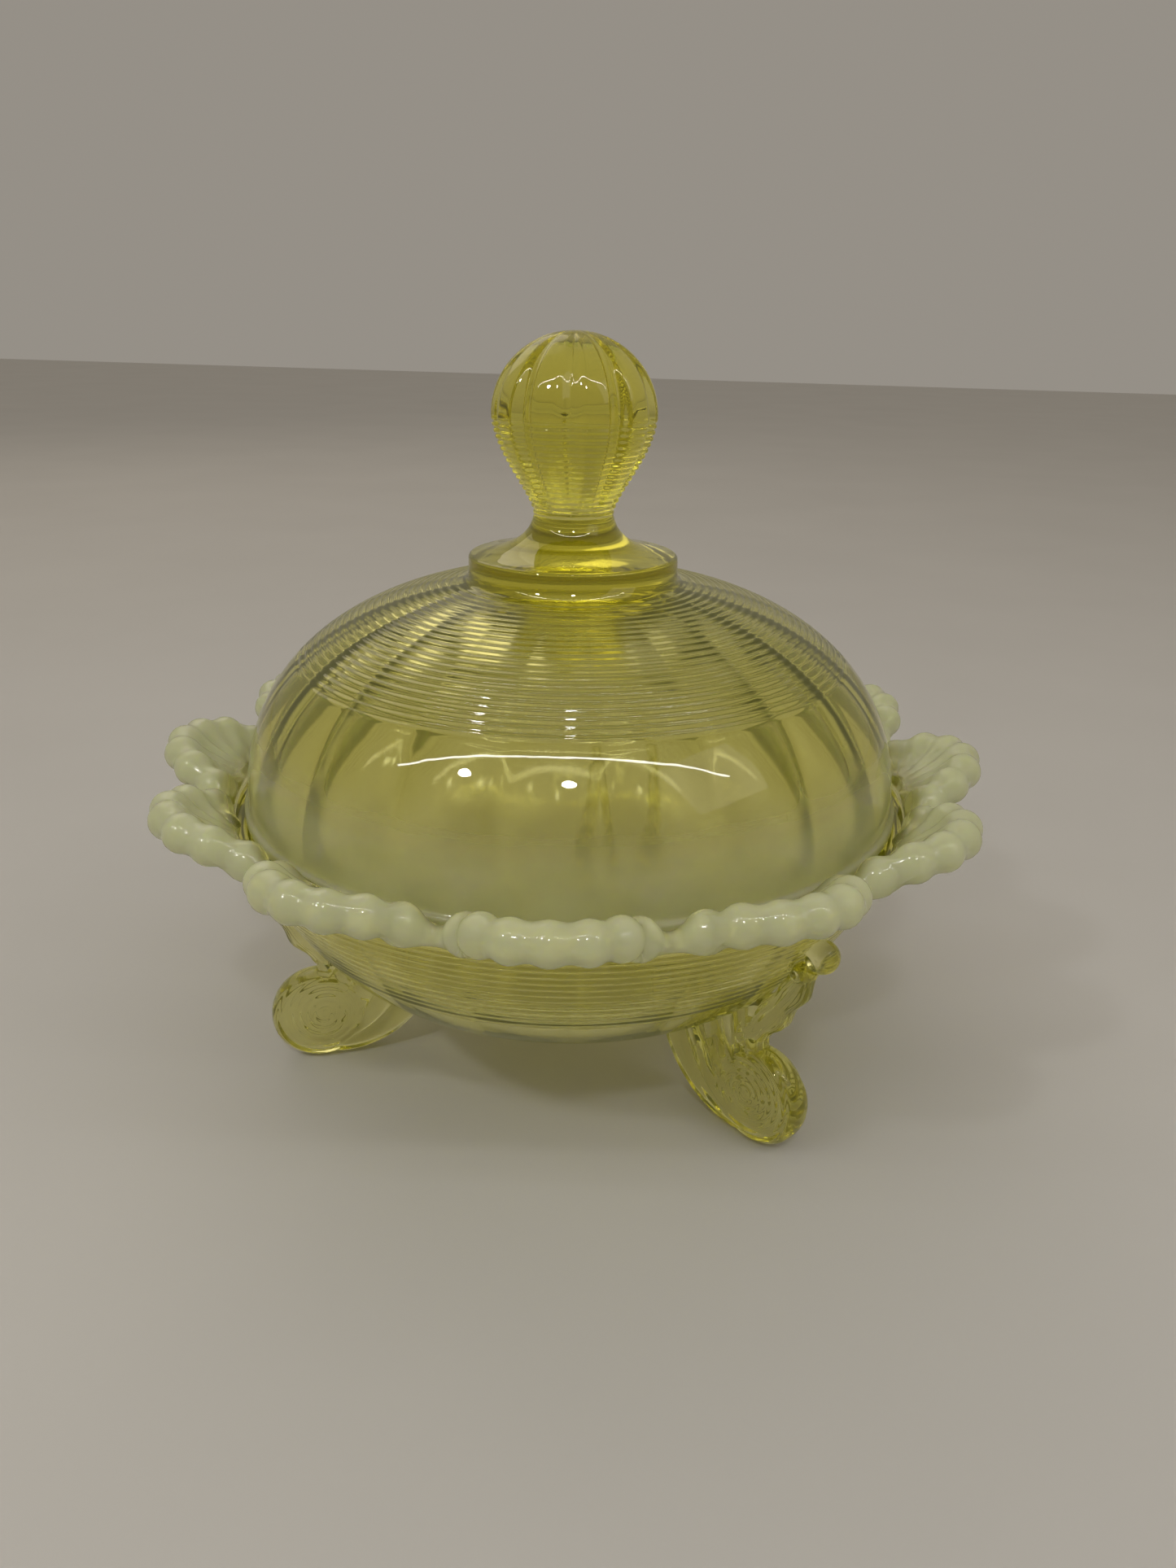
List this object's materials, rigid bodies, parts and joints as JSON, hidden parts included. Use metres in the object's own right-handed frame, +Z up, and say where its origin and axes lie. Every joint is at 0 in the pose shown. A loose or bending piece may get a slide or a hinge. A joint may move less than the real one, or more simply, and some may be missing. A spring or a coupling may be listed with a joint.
{
  "type": "covered footed glass dish",
  "caption": "Footed round dish with a scalloped shell-petal rim and a lift-off domed lid with a ball knob, for serving butter or sweets.",
  "frame": {"origin": "on the table, under the middle of the dish", "axes": "+Z up along the axis of the dish and its lid; one of the three feet points along +Y"},
  "size_m": [0.1784, 0.1784, 0.1604],
  "materials": {
    "uranium_glass": "fire-polished pressed glass, yellow-green, opalescent at the petals' edge"
  },
  "bodies": {
    "dish": {"dish": "uranium_glass"},
    "lid": {"lid": "uranium_glass"}
  },
  "joints": [
    {"name": "lid_lift", "type": "slide", "parent": "dish", "child": "lid", "axis": [0, 0, 1], "range_m": [0, 0.1]}
  ]
}
